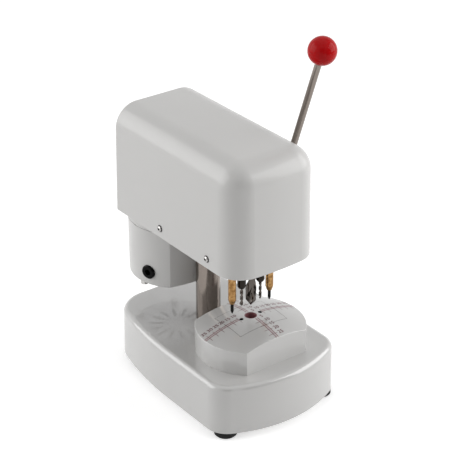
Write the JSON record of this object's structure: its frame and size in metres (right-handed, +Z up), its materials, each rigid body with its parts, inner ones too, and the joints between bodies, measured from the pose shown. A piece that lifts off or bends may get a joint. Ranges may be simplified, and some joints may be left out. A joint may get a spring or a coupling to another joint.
{
  "type": "lens drilling machine",
  "caption": "Bench drill for lens patterns: domed scale table, geared drills and sprung pens on a rack-fed quill, belt drive, side lever with a ball, boxed head on a column.",
  "frame": {"origin": "middle of the machine's footprint, on the bench under the rubber feet", "axes": "+X to the user's right, -Y to the front, +Z up along the drill axis"},
  "size_m": [0.1066, 0.1678, 0.2642],
  "materials": {
    "white_paint": "glossy light grey paint",
    "stainless": "polished stainless steel",
    "steel": "ground steel",
    "screws": "plated steel",
    "cast_aluminium": "cast and machined",
    "bearing_steel": "ground steel",
    "black_block": "black anodised",
    "dark_steel": "blackened steel",
    "drill_steel": "ground drill steel",
    "brass": "satin turned brass",
    "black_point": "matte black",
    "spring_steel": "spring steel",
    "rubber": "matte black rubber",
    "black_plastic": "black plastic",
    "grey_plastic": "moulded fan",
    "laminations": "varnished laminations",
    "copper_coils": "enamelled copper wire",
    "red_ball": "glossy red"
  },
  "bodies": {
    "stand": {"base_housing": "white_paint", "base_plate": "steel", "rubber_feet": "rubber", "base_screws": "screws", "drill_table": "white_paint", "table_screws": "screws", "column": "stainless", "column_bolt": "steel", "head_frame": "cast_aluminium", "clamp_screws": "screws", "head_cover": "white_paint", "cover_screws": "screws", "bearing_bridge": "cast_aluminium", "bridge_screws": "screws", "pulley_bearing": "bearing_steel", "drive_belt": "rubber", "stator_core": "laminations", "stator_coils": "copper_coils", "motor_housing": "white_paint", "motor_cap": "white_paint", "flange_screws": "screws", "end_cover": "cast_aluminium", "end_screws": "screws", "motor_bearings": "bearing_steel", "shaft_support": "cast_aluminium", "cord_gland": "black_plastic", "spring_cup": "spring_steel", "return_spring": "spring_steel", "start_switch": "black_plastic"},
    "quill_slide": {"quill": "steel", "quill_bearings": "bearing_steel", "spindle_block": "black_block", "block_cap": "black_block", "cap_screws": "screws", "pen_sleeves": "brass", "pen_springs": "spring_steel"},
    "main_spindle": {"main_spindle": "steel", "main_gear": "steel", "centre_chuck": "dark_steel", "centre_drill": "drill_steel"},
    "side_spindle_left": {"side_spindle_left": "steel", "side_chuck_left": "dark_steel", "side_drill_left": "drill_steel"},
    "side_spindle_right": {"side_spindle_right": "steel", "side_chuck_right": "dark_steel", "side_drill_right": "drill_steel"},
    "pen_left": {"pen_point_left": "black_point"},
    "pen_right": {"pen_point_right": "black_point"},
    "spindle_pulley": {"spindle_pulley": "cast_aluminium"},
    "motor_rotor": {"motor_shaft": "steel", "rotor_core": "laminations", "cooling_fan": "grey_plastic", "motor_pulley": "cast_aluminium"},
    "feed_lever": {"pinion_shaft": "steel", "pinion": "steel", "switch_cam": "steel", "lever_hub": "stainless", "lever_rod": "stainless", "lever_ball": "red_ball"},
    "switch_plunger": {"switch_plunger": "black_plastic"}
  },
  "joints": [
    {"name": "quill_feed", "type": "slide", "parent": "stand", "child": "quill_slide", "axis": [0, 0, -1], "range_m": [0, 0.013], "stiffness_N_per_m": 450, "springref_m": -0.02},
    {"name": "lever_turn", "type": "hinge", "parent": "stand", "child": "feed_lever", "pos_m": [0, -0.01725, 0.1518], "axis": [1, 0, 0], "range_deg": [0, 82.76]},
    {"name": "motor_spin", "type": "hinge", "parent": "stand", "child": "motor_rotor", "pos_m": [0, 0.04995, 0.1], "axis": [0, 0, 1], "continuous": true},
    {"name": "pulley_spin", "type": "hinge", "parent": "stand", "child": "spindle_pulley", "pos_m": [0, -0.03825, 0.18], "axis": [0, 0, 1], "continuous": true},
    {"name": "spindle_spin", "type": "hinge", "parent": "quill_slide", "child": "main_spindle", "pos_m": [0, -0.03825, 0.14], "axis": [0, 0, 1], "continuous": true},
    {"name": "side_spin_left", "type": "hinge", "parent": "quill_slide", "child": "side_spindle_left", "pos_m": [-0.008, -0.03825, 0.11], "axis": [0, 0, 1], "continuous": true},
    {"name": "side_spin_right", "type": "hinge", "parent": "quill_slide", "child": "side_spindle_right", "pos_m": [0.008, -0.03825, 0.11], "axis": [0, 0, 1], "continuous": true},
    {"name": "pen_slide_left", "type": "slide", "parent": "quill_slide", "child": "pen_left", "axis": [0, 0, 1], "range_m": [0, 0.0065], "stiffness_N_per_m": 60, "springref_m": -0.003, "deforming": ["pen_springs"]},
    {"name": "pen_slide_right", "type": "slide", "parent": "quill_slide", "child": "pen_right", "axis": [0, 0, 1], "range_m": [0, 0.0065], "stiffness_N_per_m": 60, "springref_m": -0.003},
    {"name": "plunger_slide", "type": "slide", "parent": "stand", "child": "switch_plunger", "axis": [0, 0, 1], "range_m": [0, 0.0008]}
  ],
  "couplings": [
    {"joint": "lever_turn", "follows": "quill_feed", "rad_per_m": 111.11},
    {"joint": "pen_slide_left", "follows": "quill_feed", "ratio": 0.5},
    {"joint": "pen_slide_right", "follows": "quill_feed", "ratio": 0.5},
    {"joint": "plunger_slide", "follows": "quill_feed", "ratio": 0.061539},
    {"joint": "pulley_spin", "follows": "motor_spin", "ratio": 0.58621},
    {"joint": "spindle_spin", "follows": "motor_spin", "ratio": 0.58621},
    {"joint": "side_spin_left", "follows": "motor_spin", "ratio": -0.58621},
    {"joint": "side_spin_right", "follows": "motor_spin", "ratio": -0.58621}
  ]
}
